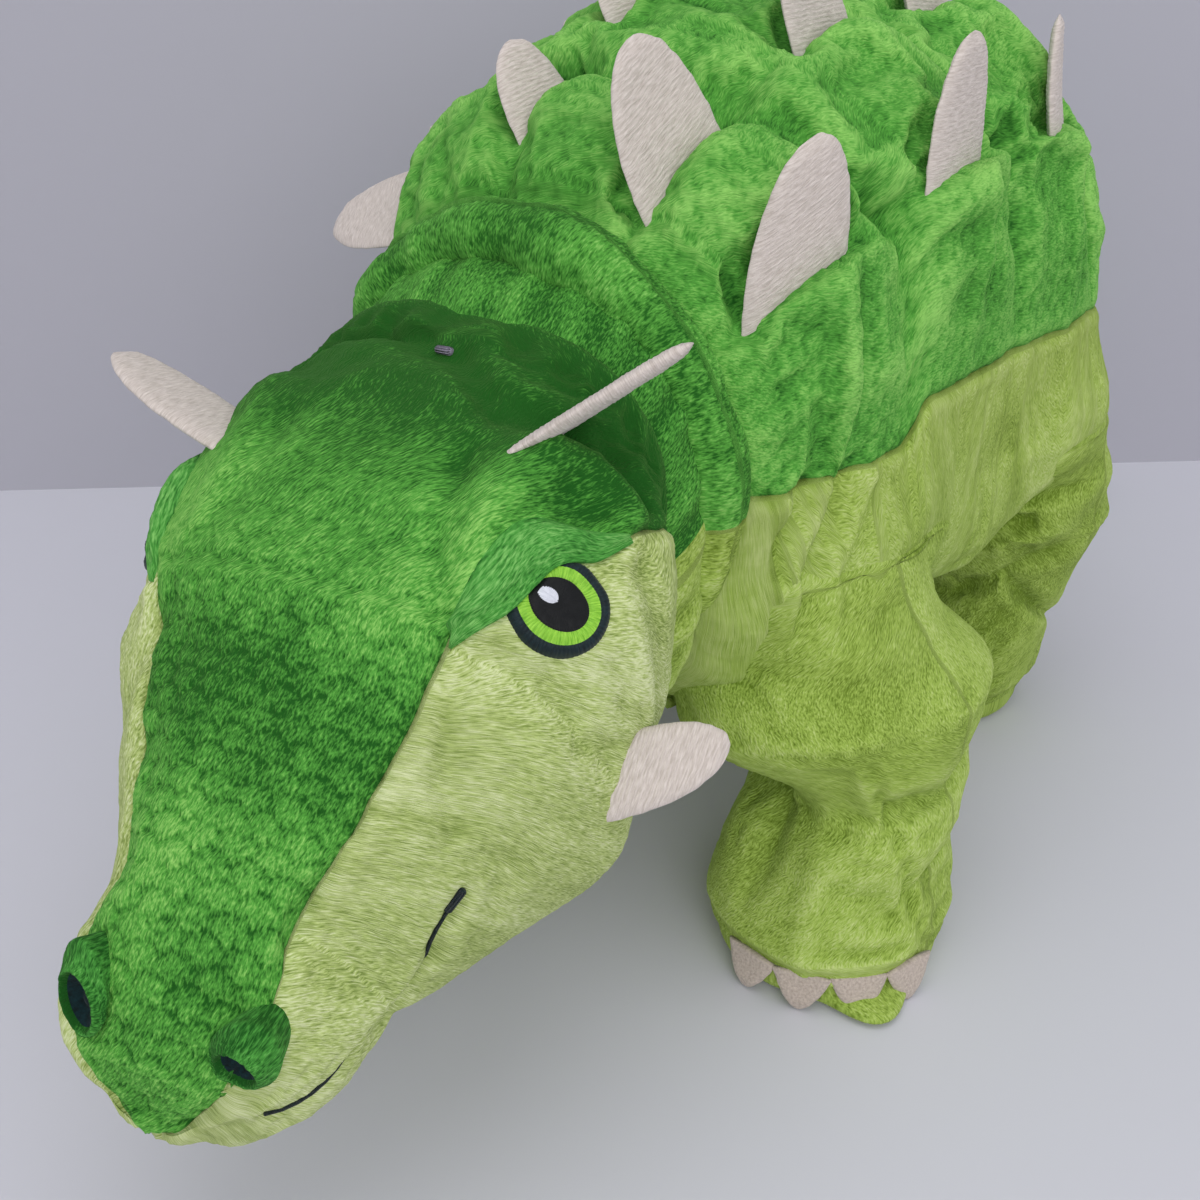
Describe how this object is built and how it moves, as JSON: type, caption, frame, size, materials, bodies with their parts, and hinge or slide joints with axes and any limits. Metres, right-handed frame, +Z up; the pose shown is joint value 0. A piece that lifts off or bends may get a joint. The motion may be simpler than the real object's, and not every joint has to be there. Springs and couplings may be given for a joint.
{
  "type": "stuffed dinosaur toy",
  "caption": "Plush ankylosaur with a domed back, flat knit plates and horns, soft legs with felt claws, a turning head and a swaying club tail; it stands on its soles.",
  "frame": {"origin": "on the table under the middle of the toy", "axes": "the head faces -Y, the toy's left is +X, +Z is up"},
  "size_m": [0.2508, 0.5823, 0.2891],
  "materials": {
    "green_plush": "embossed minky plush",
    "lime_plush": "short pile plush",
    "pale_plush": "embossed minky plush",
    "lid_plush": "short pile plush",
    "knit": "ribbed knit",
    "felt": "felt",
    "dark_thread": "satin stitch",
    "grey_thread": "thread",
    "stuffing": "polyester fibre fill"
  },
  "bodies": {
    "torso": {"back_panel": "green_plush", "flank_left": "lime_plush", "flank_right": "lime_plush", "belly_panel": "lime_plush", "torso_stuffing": "stuffing", "plate_1_right_low": "knit", "plate_1_right_high": "knit", "plate_1_left_high": "knit", "plate_1_left_low": "knit", "plate_2_right_low": "knit", "plate_2_right_high": "knit", "plate_2_left_high": "knit", "plate_2_left_low": "knit", "plate_3_right_low": "knit", "plate_3_right_high": "knit", "plate_3_left_high": "knit", "plate_3_left_low": "knit", "neck_collar": "pale_plush"},
    "neck": {"neck_gusset": "pale_plush"},
    "head": {"crown_panel": "green_plush", "cheek_left": "lime_plush", "cheek_right": "lime_plush", "chin_panel": "lime_plush", "head_stuffing": "stuffing", "eye_left": "dark_thread", "eye_right": "dark_thread", "eyelid_left": "lid_plush", "eyelid_right": "lid_plush", "nostril_hood_left": "lid_plush", "nostril_hood_right": "lid_plush", "nostril_lining_left": "dark_thread", "nostril_lining_right": "dark_thread", "horn_left": "knit", "horn_right": "knit", "cheek_horn_left": "knit", "cheek_horn_right": "knit", "mouth_stitches": "dark_thread", "neck_tack": "grey_thread"},
    "front_left_leg": {"front_left_leg": "lime_plush", "front_left_stuffing": "stuffing", "front_left_sole": "lime_plush", "front_left_claws": "felt"},
    "front_right_leg": {"front_right_leg": "lime_plush", "front_right_stuffing": "stuffing", "front_right_sole": "lime_plush", "front_right_claws": "felt"},
    "hind_left_leg": {"hind_left_leg": "lime_plush", "hind_left_stuffing": "stuffing", "hind_left_sole": "lime_plush", "hind_left_claws": "felt"},
    "hind_right_leg": {"hind_right_leg": "lime_plush", "hind_right_stuffing": "stuffing", "hind_right_sole": "lime_plush", "hind_right_claws": "felt"},
    "tail": {"tail_upper": "green_plush", "tail_lower": "lime_plush", "tail_stuffing": "stuffing", "tail_club": "green_plush"}
  },
  "joints": [
    {"name": "neck_turn", "type": "hinge", "parent": "torso", "child": "neck", "pos_m": [0, -0.118, 0.152], "axis": [0, 0, 1], "range_deg": [-12, 12], "stiffness_Nm_per_rad": 2.5},
    {"name": "head_nod", "type": "hinge", "parent": "neck", "child": "head", "pos_m": [0, -0.118, 0.152], "axis": [0.9816, 0.1908, 0], "range_deg": [-9, 8], "stiffness_Nm_per_rad": 3},
    {"name": "front_left_swing", "type": "hinge", "parent": "torso", "child": "front_left_leg", "pos_m": [0.08, -0.066, 0.088], "axis": [1, 0, 0], "range_deg": [-20, 20], "stiffness_Nm_per_rad": 0.8},
    {"name": "front_right_swing", "type": "hinge", "parent": "torso", "child": "front_right_leg", "pos_m": [-0.08, -0.066, 0.088], "axis": [1, 0, 0], "range_deg": [-20, 20], "stiffness_Nm_per_rad": 0.8},
    {"name": "hind_left_swing", "type": "hinge", "parent": "torso", "child": "hind_left_leg", "pos_m": [0.08, 0.072, 0.088], "axis": [1, 0, 0], "range_deg": [-20, 20], "stiffness_Nm_per_rad": 0.8},
    {"name": "hind_right_swing", "type": "hinge", "parent": "torso", "child": "hind_right_leg", "pos_m": [-0.08, 0.072, 0.088], "axis": [1, 0, 0], "range_deg": [-20, 20], "stiffness_Nm_per_rad": 0.8},
    {"name": "tail_sway", "type": "hinge", "parent": "torso", "child": "tail", "pos_m": [0, 0.129, 0.146], "axis": [0, 0, 1], "range_deg": [-28, 28], "stiffness_Nm_per_rad": 0.3}
  ]
}
